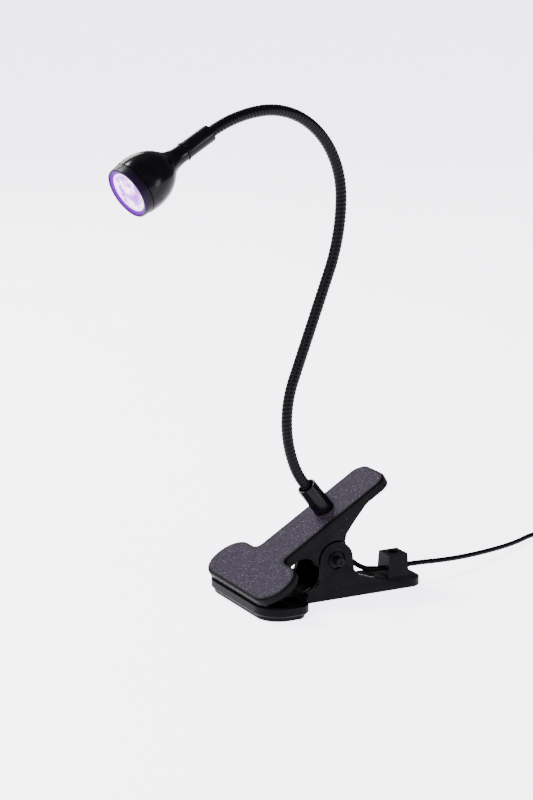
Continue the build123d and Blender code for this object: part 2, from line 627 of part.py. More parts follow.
def add_plug():
    y, z = plug_y, PLUG_Z
    axis = Plane(origin=(PLUG_X, y, z), x_dir=(0, 1, 0), z_dir=(-1, 0, 0))
    relief = turned([(0, 0), (2.0, 0), (3.0, 8.5), (0, 8.5)])
    body = extrude(Rectangle(11.6, 7.0), 21)
    body = Pos(0, 0, 8) * fillet(body.edges().filter_by(Axis.Z), 2.2)
    shell_z = 8 + 21
    nodes["plug_body"] = axis * (relief + body) - nodes["cord_to_plug"]
    shell = Pos(0, 0, shell_z) * extrude(Rectangle(12.0, 4.5) - Rectangle(11.4, 3.9), 12)
    nodes["plug_shell"] = axis * shell
    tongue = block(-5.7, 5.7, -1.95, -0.15, shell_z, shell_z + 11)
    nodes["plug_tongue"] = axis * tongue
    pads = block(-4.1, -2.9, -0.15, 0.0, shell_z, shell_z + 9)
    for x in (-1.0, 1.0, 3.5):
        pads += block(x - 0.6, x + 0.6, -0.15, 0.0, shell_z, shell_z + 9)
    nodes["plug_contacts"] = axis * pads


# ---- all the pieces ------------------------------------------------------------------------
nodes["lower_clip"] = lower_clip()
nodes["lower_jaw_pad"] = lower_pad()
nodes["pivot_pin"] = pivot_pin()
nodes["pin_rings"] = pin_rings()
nodes["torsion_spring"] = torsion_spring()
nodes["cord_clamp_screw"] = clamp_screw()
nodes["upper_lever"] = upper_lever()
nodes["upper_jaw_pad"] = upper_pad()
nodes["base_ferrule"] = base_ferrule()
nodes["ferrule_washer"] = nut_washer()
nodes["ferrule_nut"] = ferrule_nut()
add_hose()
nodes.update(head_pieces())
add_cords()
add_switch()
add_plug()

os.makedirs("parts", exist_ok=True)
for name, shape in nodes.items():
    solids = shape.solids()
    shape = solids[0] if len(solids) == 1 else Compound(children=list(solids))
    shape.label = name
    export_step(shape, f"parts/{name}.step")
    print(name, f"solids {len(solids)} volume {shape.volume:.0f} valid {shape.is_valid}")
for i, s in enumerate(hinges):
    p, d = hose.place(s), hose.direction(s)
    print(f"hinge {i + 1} at {p.X:.2f} {p.Y:.2f} {p.Z:.2f} along {d.X:.4f} {d.Y:.4f} {d.Z:.4f}")
print("head axis", [round(v, 4) for v in head_dir], "from", [round(v, 2) for v in head_origin])
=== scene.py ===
import json
import math

import bmesh
import bpy
import numpy as np
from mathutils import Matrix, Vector

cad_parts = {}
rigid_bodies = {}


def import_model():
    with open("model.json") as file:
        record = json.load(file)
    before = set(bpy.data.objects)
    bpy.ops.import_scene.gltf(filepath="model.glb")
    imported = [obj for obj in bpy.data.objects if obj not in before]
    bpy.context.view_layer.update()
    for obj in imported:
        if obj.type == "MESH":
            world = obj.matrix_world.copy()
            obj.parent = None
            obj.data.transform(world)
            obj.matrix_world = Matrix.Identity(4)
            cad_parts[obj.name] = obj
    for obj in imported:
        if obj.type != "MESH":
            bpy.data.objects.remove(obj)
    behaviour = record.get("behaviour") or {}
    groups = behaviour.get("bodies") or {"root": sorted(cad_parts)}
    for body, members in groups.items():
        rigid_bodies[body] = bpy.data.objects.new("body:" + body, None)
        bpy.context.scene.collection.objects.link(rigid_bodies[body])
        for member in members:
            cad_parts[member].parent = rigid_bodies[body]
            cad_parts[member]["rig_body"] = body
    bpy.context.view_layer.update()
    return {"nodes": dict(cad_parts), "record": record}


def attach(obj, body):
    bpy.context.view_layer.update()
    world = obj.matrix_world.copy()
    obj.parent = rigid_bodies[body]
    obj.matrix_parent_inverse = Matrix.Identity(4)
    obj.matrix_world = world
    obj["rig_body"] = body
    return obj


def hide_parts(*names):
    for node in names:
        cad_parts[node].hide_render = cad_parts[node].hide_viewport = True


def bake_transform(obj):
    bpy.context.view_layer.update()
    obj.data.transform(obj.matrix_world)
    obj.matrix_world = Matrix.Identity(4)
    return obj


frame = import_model()

# The looks of a clip-on UV curing lamp: spring clip, bendable arm, lit round head and USB lead.
# Metres, +Z up. The origin is on the table under the pivot pin, and the clip's tail points to +X.
MM = 0.001
FLOOR_R = 14.0                      # the round floor, in metres, wide enough to fill the view

# ---- sizes shared with the clip, arm and head, in millimetres ---------------------------------
SLOPE = math.radians(31.4)          # the upper half's rise towards its handle
PLATE_TOP_Z = 46.2                  # its top face, straight above the pivot
JAW_FRONT, JAW_L, JAW_W = 65.8, 27.0, 77.0
JAW_CORNER = 13.0
NECK_CORNER = 4.0
HANDLE_END, HANDLE_W, HANDLE_CORNER = 37.0, 30.0, 8.0
FERRULE_LEAN = math.radians(128.0)
FERRULE_L, FERRULE_R = 18.5, 5.7
FERRULE_SHANK = 7.5                 # its threaded foot, below the plate
HOSE_R, HOSE_PITCH, HOSE_GROOVE = 3.05, 2.2, 0.24
PIVOT_Z, PIN_R, PIN_END = 22.0, 2.6, 19.6
WIRE_R = 1.5
HOSE_FOOT = 5.5                     # where the hose starts, up the ferrule
HEAD_YAW = math.radians(9.6)
FIRST_HINGE, HINGE_COUNT = 22.0, 8
LAST_HINGE_GAP = 7.0                # from the last hinge to the head's sleeve
SOCKET_L = 10.0                     # how far the hose goes into the head's sleeve
CORD_D = 2.8
POST_Y, CORD_Z = -7.8, 11.1
COIL_AT = (200.0, 2.0)
COIL_OUT, COIL_IN = 22.5, 8.5       # the cord's middle on the outer and the inner turn
COIL_LOW, COIL_HIGH = 2.0, 4.8      # and in the lower and the upper layer


# ---- camera and light -------------------------------------------------------------------------
def add_camera():
    """A long lens in front of the clip's near left side, a little above the lamp."""
    data = bpy.data.cameras.new("camera")
    data.lens, data.sensor_width = 108.0, 36.0
    camera = bpy.data.objects.new("camera", data)
    camera.location = Vector((-602.6, -1095.4, 403.8)) * MM
    yaw, dip = math.radians(27.4), math.radians(13.34)
    look = Vector((math.sin(yaw) * math.cos(dip), math.cos(yaw) * math.cos(dip), -math.sin(dip)))
    camera.rotation_euler = look.to_track_quat("-Z", "Y").to_euler()
    bpy.context.scene.collection.objects.link(camera)
    bpy.context.scene.camera = camera


def add_softbox(name, place, target, width, height, watts):
    """A white rectangular light, aimed at a place; metres and watts."""
    data = bpy.data.lights.new(name, "AREA")
    data.shape, data.size, data.size_y = "RECTANGLE", width, height
    data.energy = watts
    light = bpy.data.objects.new(name, data)
    light.location = place
    light.rotation_euler = (Vector(target) - Vector(place)).to_track_quat("-Z", "Y").to_euler()
    bpy.context.scene.collection.objects.link(light)


def add_studio():
    """A dim pale room, soft windows round the lamp, and the floor it stands on."""
    world = bpy.data.worlds.new("pale_room")
    world.use_nodes = True
    sky = world.node_tree.nodes["Background"]
    sky.inputs["Color"].default_value = (0.93, 0.92, 0.96, 1)
    sky.inputs["Strength"].default_value = 0.3
    bpy.context.scene.world = world
    aim = (0, 0, 0.12)
    add_softbox("window_left", (-1.2, -0.6, 1.1), aim, 0.5, 0.5, 22)
    add_softbox("window_top", (-0.6, 0.8, 1.4), aim, 0.5, 0.4, 45)
    add_softbox("window_back", (-0.1, 1.3, 0.85), aim, 0.9, 0.45, 14)
    add_softbox("window_right", (0.9, -1.1, 0.3), aim, 0.25, 0.4, 7)
    floor = bpy.data.meshes.new("floor")
    turn = np.linspace(0, 2 * np.pi, 97)[:-1]
    rim = np.stack([FLOOR_R * np.cos(turn), FLOOR_R * np.sin(turn), 0 * turn], axis=1)
    floor.from_pydata(rim, [], [list(range(len(rim)))])
    floor.materials.append(pale_floor())
    table = bpy.data.objects.new("floor", floor)
    bpy.context.scene.collection.objects.link(table)


# ---- shader sums ------------------------------------------------------------------------------
def operator(operation, reflected=False):
    """The method that adds a Math node of this operation, its two values swapped if reflected."""
    def apply(self, other):
        pair = (other, self) if reflected else (self, other)
        return self.finish.maths(operation, *pair)
    return apply


class Value:
    """A socket that sums can be written with: each operator adds its Math node."""

    def __init__(self, finish, socket):
        self.finish, self.socket = finish, socket

    __add__ = __radd__ = operator("ADD")
    __mul__ = __rmul__ = operator("MULTIPLY")
    __sub__, __rsub__ = operator("SUBTRACT"), operator("SUBTRACT", True)
    __truediv__ = operator("DIVIDE")
    __gt__, __lt__ = operator("GREATER_THAN"), operator("LESS_THAN")


class Finish:
    """A material with one shader: constants go on its sockets, and vary() feeds the rest."""

    def __init__(self, name, colour, rough, metal=0.0, **constants):
        self.material = bpy.data.materials.new(name)
        self.material.use_nodes = True
        self.material.diffuse_color = (*colour, 1)
        self.tree = self.material.node_tree
        self.shader = self.tree.nodes["Principled BSDF"]
        self.place = self.node("ShaderNodeTexCoord", output="Object")
        self.shader.inputs["Base Color"].default_value = (*colour, 1)
        self.shader.inputs["Roughness"].default_value = rough
        self.shader.inputs["Metallic"].default_value = metal
        for socket, value in constants.items():
            self.shader.inputs[socket.replace("_", " ")].default_value = value

    def node(self, kind, settings=None, inputs=None, output=0):
        """Any node: its settings are set first, then the values or links of its sockets."""
        made = self.tree.nodes.new(kind)
        for key, value in (settings or {}).items():
            if key == "stops":
                self.set_stops(made.color_ramp, value)
            else:
                setattr(made, key, value)
        for key, value in (inputs or {}).items():
            self.feed(made.inputs[key], value)
        return Value(self, made.outputs[output])

    def set_stops(self, ramp, stops):
        while len(ramp.elements) < len(stops):
            ramp.elements.new(1.0)
        for element, (position, colour) in zip(ramp.elements, stops):
            element.position, element.color = position, (*colour, 1)

    def feed(self, socket, value):
        if isinstance(value, Value):
            self.tree.links.new(value.socket, socket)
        else:
            socket.default_value = value

    def maths(self, operation, *values):
        return self.node("ShaderNodeMath", {"operation": operation}, dict(enumerate(values)))

    def noise(self, size, detail=3.0, place=None):
        """Soft noise whose lumps are about this many millimetres across."""
        inputs = {"Vector": place or self.place, "Scale": 1 / (size * MM), "Detail": detail}
        return self.node("ShaderNodeTexNoise", inputs=inputs)

    def cells(self, size, output="Distance"):
        """Cells about this many millimetres across."""
        inputs = {"Vector": self.place, "Scale": 1 / (size * MM)}
        return self.node("ShaderNodeTexVoronoi", None, inputs, output)

    def stretched(self, scale):
        """Object coordinates with each axis multiplied by its own factor."""
        inputs = {"Vector": self.place, "Scale": scale}
        return self.node("ShaderNodeMapping", inputs=inputs)

    def clamp(self, value, low, high, to_low=0.0, to_high=1.0):
        """Value from low to high, as to_low to to_high, and flat outside."""
        inputs = {"Value": value, "From Min": low, "From Max": high,
                  "To Min": to_low, "To Max": to_high}
        return self.node("ShaderNodeMapRange", inputs=inputs)

    def mix(self, share, a, b):
        """Colour a at share 0, b at share 1."""
        colours = [c if isinstance(c, Value) else (*c, 1) for c in (a, b)]
        inputs = {0: share, 6: colours[0], 7: colours[1]}
        return self.node("ShaderNodeMix", {"data_type": "RGBA"}, inputs, output=2)

    def ramp(self, value, stops):
        return self.node("ShaderNodeValToRGB", {"stops": stops}, {"Fac": value})

    def bump(self, height, depth, strength=1.0):
        """Relief whose height of one stands this many millimetres proud."""
        inputs = {"Height": height, "Distance": depth * MM, "Strength": strength}
        self.feed(self.shader.inputs["Normal"], self.node("ShaderNodeBump", inputs=inputs))

    def vary(self, **sockets):
        for socket, value in sockets.items():
            self.feed(self.shader.inputs[socket.replace("_", " ")], value)
        return self


# ---- finishes ---------------------------------------------------------------------------------
def pale_floor():
    """The floor: near white, and lit a little from within so that it stays even."""
    finish = Finish("floor_white", (0.86, 0.85, 0.88), 0.3, Specular_IOR_Level=0.3,
                    Emission_Color=(0.93, 0.88, 1.0, 1.0), Emission_Strength=4.2)
    cloud = finish.noise(220, 4)
    return finish.vary(Roughness=finish.clamp(cloud, 0.3, 0.7, 0.26, 0.42)).material


def moulded_plastic(name, colour, rough, grain=0.35, depth=0.012, spots=0.0):
    """Moulded plastic: slow colour drift, fine pores, and a few pale dust specks."""
    finish = Finish(name, colour, rough, Specular_IOR_Level=0.03)
    drift = finish.noise(9, 3)
    pores = finish.noise(grain, 2)
    scuff = finish.noise(1.4, 4, finish.stretched((1, 3, 1)))
    lighter = tuple(min(1.0, c * 1.5 + 0.0004) for c in colour)
    shade = finish.mix(finish.clamp(drift, 0.35, 0.7), colour, lighter)
    if spots:
        speck = (finish.cells(2.6) < 0.07) * (finish.noise(3.1, 1) > 0.56)
        shade = finish.mix(speck * spots, shade, (0.45, 0.43, 0.47))
    finish.vary(Base_Color=shade)
    finish.vary(Roughness=finish.clamp(scuff, 0.3, 0.72, rough - 0.07, rough + 0.1))
    finish.bump(pores + drift * 2, depth)
    return finish.material


def eroded_panel():
    """The clip's sparkling top: spark-eroded grain, with picked facets painted pale as painted
    glints, and painted shade darker at its border.
    """
    finish = Finish("eroded_black", (0.016, 0.015, 0.019), 0.55, Specular_IOR_Level=0.012)
    edge = finish.node("ShaderNodeAttribute", {"attribute_name": "border"}, output="Fac")
    facets = finish.cells(0.6, "Color")
    tone = finish.node("ShaderNodeSeparateColor", inputs={"Color": facets}, output=0)
    spark = finish.node("ShaderNodeSeparateColor", inputs={"Color": facets}, output=1)
    painted_glint = (spark > 0.9) * (finish.cells(0.6) < 0.4)
    base = finish.mix(tone, (0.0085, 0.0068, 0.011), (0.04, 0.033, 0.049))
    cloud = finish.clamp(finish.noise(14, 3), 0.3, 0.7, 0.0, 0.4)
    base = finish.mix(cloud, base, (0.026, 0.0215, 0.032))
    # painted glints: the picked facets are painted pale, standing in for light glinting off the
    # eroded grain
    base = finish.mix(painted_glint * 0.75, base, (0.16, 0.14, 0.19))
    # painted shade: near black along the panel's border, standing in for the shade in the step
    # round it
    base = finish.mix(finish.clamp(edge, 0.05, 0.3, 0.9, 0.0), base, (0.001, 0.001, 0.001))
    finish.vary(Base_Color=base, Roughness=finish.clamp(tone, 0.0, 1.0, 0.34, 0.62))
    finish.bump(finish.noise(0.45, 3) + tone * 0.5, 0.07)
    return finish.material


def gloss_black(name="gloss_black", tint=(0.0016, 0.0014, 0.002)):
    """Anodised and lacquered metal: near black, with a soft orange-peel in the gloss."""
    finish = Finish(name, tint, 0.24, Specular_IOR_Level=0.07)
    peel = finish.noise(1.8, 2)
    smear = finish.noise(7, 4)
    lighter = tuple(c * 1.8 for c in tint)
    finish.vary(Base_Color=finish.mix(finish.clamp(smear, 0.3, 0.7), tint, lighter))
    finish.vary(Roughness=finish.clamp(smear, 0.3, 0.75, 0.15, 0.27))
    finish.bump(peel, 0.006)
    return finish.material


def hose_black():
    """Satin winding: the crests are rubbed a little smoother, and painted paler than the grooves as
    painted light on the crests and painted shade in the grooves.
    """
    finish = Finish("hose_black", (0.004, 0.0037, 0.0045), 0.3, Specular_IOR_Level=0.05)
    crest = finish.node("ShaderNodeAttribute", {"attribute_name": "crest"}, output="Fac")
    wear_and_sheen = finish.noise(1.1, 3)
    # painted light and shade: crests painted paler and grooves darker, made patchy by the noise
    shade = finish.mix(crest * finish.clamp(wear_and_sheen, 0.3, 0.7, 0.35, 1.0), (0.0012, 0.0011, 0.0015),
                       (0.003, 0.0028, 0.0034))
    finish.vary(Base_Color=shade, Roughness=finish.clamp(wear_and_sheen + crest * 0.2, 0.4, 0.9, 0.4, 0.22))
    finish.bump(finish.noise(0.3, 2), 0.02)
    return finish.material


def lead_black():
    """The lead's soft jacket: satin, faintly rippled, with a little bloom."""
    finish = Finish("lead_black", (0.002, 0.002, 0.0022), 0.34, Specular_IOR_Level=0.02)
    bloom = finish.noise(5, 3)
    finish.vary(Base_Color=finish.mix(finish.clamp(bloom, 0.4, 0.75), (0.0012, 0.0012, 0.0014),
                                      (0.0024, 0.0023, 0.0026)))
    finish.vary(Roughness=finish.clamp(bloom, 0.3, 0.7, 0.3, 0.46))
    finish.bump(finish.noise(0.6, 3), 0.015)
    return finish.material


def worn_metal(name, colour, rough, brush=(1, 1, 14), metal=1.0, depth=0.01):
    """Bare or plated metal with fine lines along one axis."""
    finish = Finish(name, colour, rough, metal)
    lines = finish.noise(0.5, 3, finish.stretched(brush))
    stain = finish.noise(4, 3)
    darker = tuple(c * 0.7 for c in colour)
    finish.vary(Base_Color=finish.mix(finish.clamp(stain, 0.35, 0.7), colour, darker))
    finish.vary(Roughness=finish.clamp(lines, 0.3, 0.7, rough - 0.08, rough + 0.12))
    finish.bump(lines, depth)
    return finish.material


def ribbed_rubber():
    """The pads' rubber: matt black under a film of dust."""
    finish = Finish("grip_rubber", (0.014, 0.014, 0.014), 0.75, Specular_IOR_Level=0.3)
    dust = finish.noise(1.2, 4)
    finish.vary(Base_Color=finish.mix(finish.clamp(dust, 0.45, 0.8), (0.012, 0.012, 0.012),
                                      (0.05, 0.048, 0.047)))
    finish.vary(Roughness=finish.clamp(dust, 0.3, 0.7, 0.66, 0.85))
    finish.bump(finish.noise(0.35, 2), 0.03)
    return finish.material


def woven_tie():
    """Hook-and-loop strip: crossing threads and a fuzzy nap."""
    finish = Finish("tie_weave", (0.02, 0.02, 0.022), 0.9, Sheen_Weight=0.4, Sheen_Roughness=0.5)
    wave = {"bands_direction": "X", "wave_profile": "SIN"}
    warp = finish.node("ShaderNodeTexWave", wave, {"Vector": finish.place, "Scale": 700.0})
    weft = finish.node("ShaderNodeTexWave", {**wave, "bands_direction": "Y"},
                       {"Vector": finish.place, "Scale": 700.0})
    nap = finish.noise(0.3, 4)
    weave = warp * weft
    finish.vary(Base_Color=finish.mix(weave, (0.012, 0.012, 0.014), (0.05, 0.05, 0.055)))
    finish.vary(Roughness=finish.clamp(nap, 0.3, 0.7, 0.8, 1.0))
    finish.bump(weave + nap, 0.08)
    return finish.material


def lit_lens():
    """The lit moulded lens: lilac, with white-hot patches where the prisms catch the light."""
    finish = Finish("lit_lens", (0.02, 0.01, 0.03), 0.12,
                    Emission_Strength=2.0, Specular_IOR_Level=0.02)
    patch = finish.noise(5.5, 2)
    sparks = finish.cells(2.3)
    rim = finish.node("ShaderNodeAttribute", {"attribute_name": "rim"}, output="Fac")
    lilacs = [(0.0, (0.75, 0.12, 1.5)), (0.5, (1.2, 0.4, 1.8)), (1.0, (2.4, 1.9, 2.6))]
    glow = finish.ramp(finish.clamp(patch, 0.36, 0.62), lilacs)
    glow = finish.mix((sparks < 0.16) * 0.8, glow, (2.4, 2.1, 2.6))
    glow = finish.mix(finish.clamp(rim, 0.88, 0.95), glow, (2.0, 1.5, 2.2))
    return finish.vary(Emission_Color=glow).material


def violet_ring():
    """The lit chamfer round the lens: deep violet, hotter towards the lens."""
    finish = Finish("violet_ring", (0.01, 0.002, 0.03), 0.25,
                    Emission_Strength=0.7, Specular_IOR_Level=0.01)
    rim = finish.node("ShaderNodeAttribute", {"attribute_name": "rim"}, output="Fac")
    drift = finish.noise(6, 2)
    violets = [(0.0, (0.9, 0.1, 1.6)), (0.4, (0.5, 0.01, 1.4)), (1.0, (0.22, 0.0, 0.9))]
    glow = finish.ramp(rim, violets)
    glow = finish.mix(finish.clamp(drift, 0.3, 0.7, 0.0, 0.35), glow, (0.5, 0.01, 0.7))
    return finish.vary(Emission_Color=glow).material


def bezel_black():
    """The head's front ring: satin black, with painted violet light towards the lit edge, standing
    in for the lens's light spilling onto it.
    """
    finish = Finish("bezel_black", (0.003, 0.0025, 0.004), 0.33,
                    Emission_Strength=0.15, Specular_IOR_Level=0.05)
    rim = finish.node("ShaderNodeAttribute", {"attribute_name": "rim"}, output="Fac")
    smear = finish.noise(5, 3)
    # painted light: the colour turns violet and faintly glows towards the front edge, where the
    # lens's light spills onto the ring
    finish.vary(Base_Color=finish.mix(rim, (0.003, 0.0026, 0.004), (0.006, 0.003, 0.012)))
    finish.vary(Emission_Color=finish.mix(rim, (0.0, 0.0, 0.0), (0.03, 0.005, 0.07)))
    finish.vary(Roughness=finish.clamp(smear, 0.3, 0.7, 0.26, 0.4))
    finish.bump(finish.noise(1.5, 2), 0.006)
    return finish.material


def board_mask(name, colour):
    """Circuit board: solder mask over raised copper tracks."""
    finish = Finish(name, colour, 0.35)
    tracks = finish.node("ShaderNodeTexBrick", {"offset": 0.5},
                         {"Vector": finish.place, "Scale": 260.0, "Mortar Size": 0.03}, output=1)
    darker = tuple(c * 0.6 for c in colour)
    finish.vary(Base_Color=finish.mix(tracks, colour, darker))
    finish.vary(Roughness=finish.clamp(finish.noise(2, 2), 0.3, 0.7, 0.28, 0.42))
    finish.bump(tracks, 0.04)
    return finish.material


# ---- meshes from arrays -----------------------------------------------------------------------
def grid_quads(rows, columns, wrap=False):
    """Corner numbers of the quads of a grid of points; wrap joins the last column to the first."""
    across = columns if wrap else columns - 1
    row, column = np.meshgrid(np.arange(rows - 1), np.arange(across), indexing="ij")
    a = row * columns + column
    b = row * columns + (column + 1) % columns
    return np.stack([a, b, b + columns, a + columns], axis=-1).reshape(-1, 4)


def add_piece(name, points, faces, finish, sharp=40, attributes=None, closed=True):
    """A mesh object from arrays in metres: doubles merged, faces outwards, smooth to an angle."""
    mesh = bpy.data.meshes.new(name)
    mesh.from_pydata(points.reshape(-1, 3), [], faces)
    for key, values in (attributes or {}).items():
        mesh.attributes.new(key, "FLOAT", "POINT").data.foreach_set("value", np.ravel(values))
    work = bmesh.new()
    work.from_mesh(mesh)
    bmesh.ops.remove_doubles(work, verts=work.verts, dist=1e-7)
    if closed:
        bmesh.ops.recalc_face_normals(work, faces=work.faces)
    work.to_mesh(mesh)
    work.free()
    mesh.shade_smooth()
    mesh.set_sharp_from_angle(angle=math.radians(sharp))
    mesh.materials.append(finish)
    piece = bpy.data.objects.new(name, mesh)
    bpy.context.scene.collection.objects.link(piece)
    return piece


def rounded(corners, steps=5):
    """Outline through (r, z, radius) corners, each corner an arc of its radius.

    The arc starts and ends at radius / tan(half the corner's angle) from the corner, and its points
    lie on the circle round the centre on the corner's bisector."""
    corners = np.array(corners, float)
    outline = [corners[0, :2]]
    for before, corner, after in zip(corners, corners[1:], corners[2:]):
        here, radius = corner[:2], corner[2]
        if radius == 0:
            outline.append(here)
            continue
        back = (before[:2] - here) / np.linalg.norm(before[:2] - here)
        on = (after[:2] - here) / np.linalg.norm(after[:2] - here)
        half = math.acos(np.clip(back @ on, -1, 1)) / 2
        middle = here + (back + on) / np.linalg.norm(back + on) * radius / math.sin(half)
        first, last = here + back * radius / math.tan(half), here + on * radius / math.tan(half)
        share = np.linspace(0, 1, steps + 1)[:, None]
        chord = first + (last - first) * share - middle
        outline.extend(middle + chord / np.linalg.norm(chord, axis=1, keepdims=True) * radius)
    outline.append(corners[-1, :2])
    return np.array(outline)


class Axis:
    """A line in space, with two directions across it."""

    def __init__(self, origin, along, side):
        self.origin = np.array(origin, float)
        self.along = np.array(along, float) / np.linalg.norm(along)
        across = np.cross(side, self.along)
        self.u = across / np.linalg.norm(across)
        self.v = np.cross(self.along, self.u)

    def at(self, radius, height, angle):
        """Point at this radius and angle about the line, and this far along it."""
        ring = np.cos(angle)[..., None] * self.u + np.sin(angle)[..., None] * self.v
        return self.origin + height[..., None] * self.along + radius[..., None] * ring


def turned(name, axis, outline, finish, body, replaces=(), steps=96, rim=None, sharp=40):
    """A profile of (radius, height) points carried once round an axis.

    Point (i, j) is at radius[i], height[i] and angle 2 pi j / steps. From radius and height, rim
    makes an attribute."""
    radius, height = np.asarray(outline, float).T
    angle = np.linspace(0, 2 * np.pi, steps + 1)[:-1]
    points = axis.at(np.repeat(radius[:, None], steps, 1), np.repeat(height[:, None], steps, 1),
                     np.broadcast_to(angle, (len(radius), steps)))
    attributes = {"rim": np.repeat(rim(radius, height), steps)} if rim else None
    faces = grid_quads(len(radius), steps, wrap=True)
    piece = add_piece(name, points * MM, faces, finish, sharp, attributes)
    return dressed(piece, body, replaces)


def dressed(piece, body, replaces=()):
    """The piece, with the nodes it stands for hidden, attached to its body when it has one."""
    if replaces:
        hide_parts(*replaces)
    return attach(piece, body) if body else piece


# ---- the lead and its coil --------------------------------------------------------------------
def cord_curve(name, route):
    """A smooth line through open space, with the route's points as its control points."""
    data = bpy.data.curves.new(name, "CURVE")
    data.dimensions, data.resolution_u = "3D", 8
    spline = data.splines.new("NURBS")
    spline.points.add(len(route) - 1)
    for point, place in zip(spline.points, route):
        point.co = (*(c * MM for c in place), 1)
    spline.order_u, spline.use_endpoint_u = 3, True
    return data


def add_cord(name, route, finish):
    """A round lead along its route, with closed ends."""
    data = cord_curve(name, route)
    data.bevel_depth, data.bevel_resolution = CORD_D / 2 * MM, 5
    data.use_fill_caps = True
    data.materials.append(finish)
    cord = bpy.data.objects.new(name, data)
    bpy.context.scene.collection.objects.link(cord)
    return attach(cord, "lower_half")


def line_points(route):
    """The points of the route's own smooth line, in metres."""
    holder = bpy.data.objects.new("route_line", cord_curve("route_line", route))
    mesh = bpy.data.meshes.new_from_object(holder)
    points = np.array([v.co for v in mesh.vertices])
    bpy.data.objects.remove(holder)
    return points


def coil_points(per_turn=16):
    """Turns a cord's width apart: inwards in the lower layer, one turn up, then outwards."""
    spiral = (COIL_OUT - COIL_IN) / CORD_D
    turns = np.arange(0, 2 * spiral + 1 + 0.25 + 1e-6, 1 / per_turn)
    climb = np.clip(turns - spiral, 0, 1)
    inwards, outwards = np.clip(turns, 0, spiral), np.clip(turns - spiral - 1, 0, spiral)
    radius = COIL_OUT - CORD_D * inwards + CORD_D * outwards
    radius += 0.5 * np.sin(2 * np.pi * turns * 0.37) - 0.5 * np.sin(np.pi * climb)
    radius = np.clip(radius, COIL_IN - 0.5, COIL_OUT)
    height = COIL_LOW + (COIL_HIGH - COIL_LOW) * climb
    angle = -2 * np.pi * turns
    x, y = COIL_AT
    return list(zip(x + radius * np.cos(angle), y + radius * np.sin(angle), height))


ferrule_up = np.array([math.cos(FERRULE_LEAN), 0, math.sin(FERRULE_LEAN)])
ferrule_base = np.array([0.6, 0, PLATE_TOP_Z + 0.6 * math.tan(SLOPE)])
loop_top = ferrule_base - ferrule_up * FERRULE_SHANK

LOOP_ROUTE = [tuple(loop_top), tuple(loop_top - ferrule_up * 9.0), (10.6, -4.5, 23.0),
              (14.5, -6.2, 16.4), (23.5, POST_Y, CORD_Z), (31.0, POST_Y, CORD_Z)]
CLIP_ROUTE = [(31.0, POST_Y, CORD_Z), (52, POST_Y, CORD_Z), (78, -4.0, 8.5), (106, 6.4, 5.6),
              (138, 21.3, 2.8), (159, 34, 2.4), (171, 34, 2.4)]
FEED_ROUTE = [(201, 34, 2.4), (210, 34, 2.4), (218.5, 30.5, 2.0), (222.5, 21, 2.0),
              (222.5, 10, 2.0)]
PLUG_ROUTE = [(193, -20.5, 4.8), (180, -20.5, 3.6)]


def add_leads(finish):
    """The lead from the clip to its switch, and from the switch through its coil to the plug."""
    first = add_cord("lead_to_switch", CLIP_ROUTE, finish)
    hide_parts("cord_from_clip")
    second = add_cord("lead_to_plug", FEED_ROUTE + coil_points() + PLUG_ROUTE, finish)
    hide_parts("cord_to_coil", "cord_coil", "cord_to_plug")


# ---- tubes along a line -----------------------------------------------------------------------
def tube_points(line, radius, across, steps):
    """Rings round a line: line + radius * (cos(angle) * across + sin(angle) * other).

    The radius may differ at each point of the grid, and across is where each ring starts."""
    along = np.gradient(line, axis=0)
    along /= np.linalg.norm(along, axis=1, keepdims=True)
    across = across - (across * along).sum(1, keepdims=True) * along
    across /= np.linalg.norm(across, axis=1, keepdims=True)
    other = np.cross(along, across)
    angle = np.linspace(0, 2 * np.pi, steps + 1)[:-1]
    cosine, sine = np.cos(angle)[None, :, None], np.sin(angle)[None, :, None]
    ring = cosine * across[:, None] + sine * other[:, None]
    return line[:, None] + np.broadcast_to(radius, (len(line), steps))[..., None] * ring


def add_tube(name, line, radius, across, finish, steps=24, attributes=None, sharp=60):
    """A tube with flat ends along a line in metres."""
    points = tube_points(line, radius, across, steps)
    faces = grid_quads(len(line), steps, wrap=True).tolist()
    faces += [list(range(steps))[::-1], list(range((len(line) - 1) * steps, len(line) * steps))]
    return add_piece(name, points, faces, finish, sharp, attributes)


def add_lead_loop(finish):
    """The lead between the ferrule's foot and the post, as one fixed tube; the real lead gives as
    the clip opens.
    """
    line = line_points(LOOP_ROUTE)
    across = np.tile([0.0, 1.0, 0.0], (len(line), 1))
    loop = add_tube("lead_loop_sleeve", line, CORD_D / 2 * MM, across, finish)
    dressed(loop, None, ["lead_loop"])
    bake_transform(loop)


def add_spring(finish):
    """Torsion spring: a helix round the pin, and a straight leg along a tangent at each end.

    Helix: x = -mean * sin(angle), z = pivot - mean * cos(angle), and y grows evenly."""
    turns, mean, first_y, pitch, wire = 3.5, 5.0, 0.6, 1.75, 0.8
    share = np.linspace(0, 1, 220)
    angle = -2 * np.pi * turns * share
    coil = np.stack([-mean * np.sin(angle), first_y + pitch * turns * share,
                     PIVOT_Z - mean * np.cos(angle)], 1)
    low_end = np.array([26.0, first_y, 4.4])
    high_end = np.array([21.0, first_y + pitch * turns, PLATE_TOP_Z + 21.0 * math.tan(SLOPE) - 6.5])
    steps = np.linspace(0, 1, 24)[:-1, None]
    line = np.vstack([low_end + (coil[0] - low_end) * steps, coil,
                      coil[-1] + (high_end - coil[-1]) * (steps + 1 / 23)])
    across = np.tile([0.0, 1.0, 0.0], (len(line), 1))
    spring = add_tube("torsion_spring_wire", line * MM, wire * MM, across, finish, steps=12)
    dressed(spring, None, ["torsion_spring"])
    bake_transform(spring)


# ---- the bendable arm -------------------------------------------------------------------------
ARM_BENDS = [(39.7, -15.6), (66.1, -42.8), (0.0, 59.9), (112.3, 20.4), (49.4, 92.4), (79.3, 25.2)]
STRAIGHT_FOOT = 15.4
YAW_STATION = 5                     # the stretch from which the arm lies in the turned plane


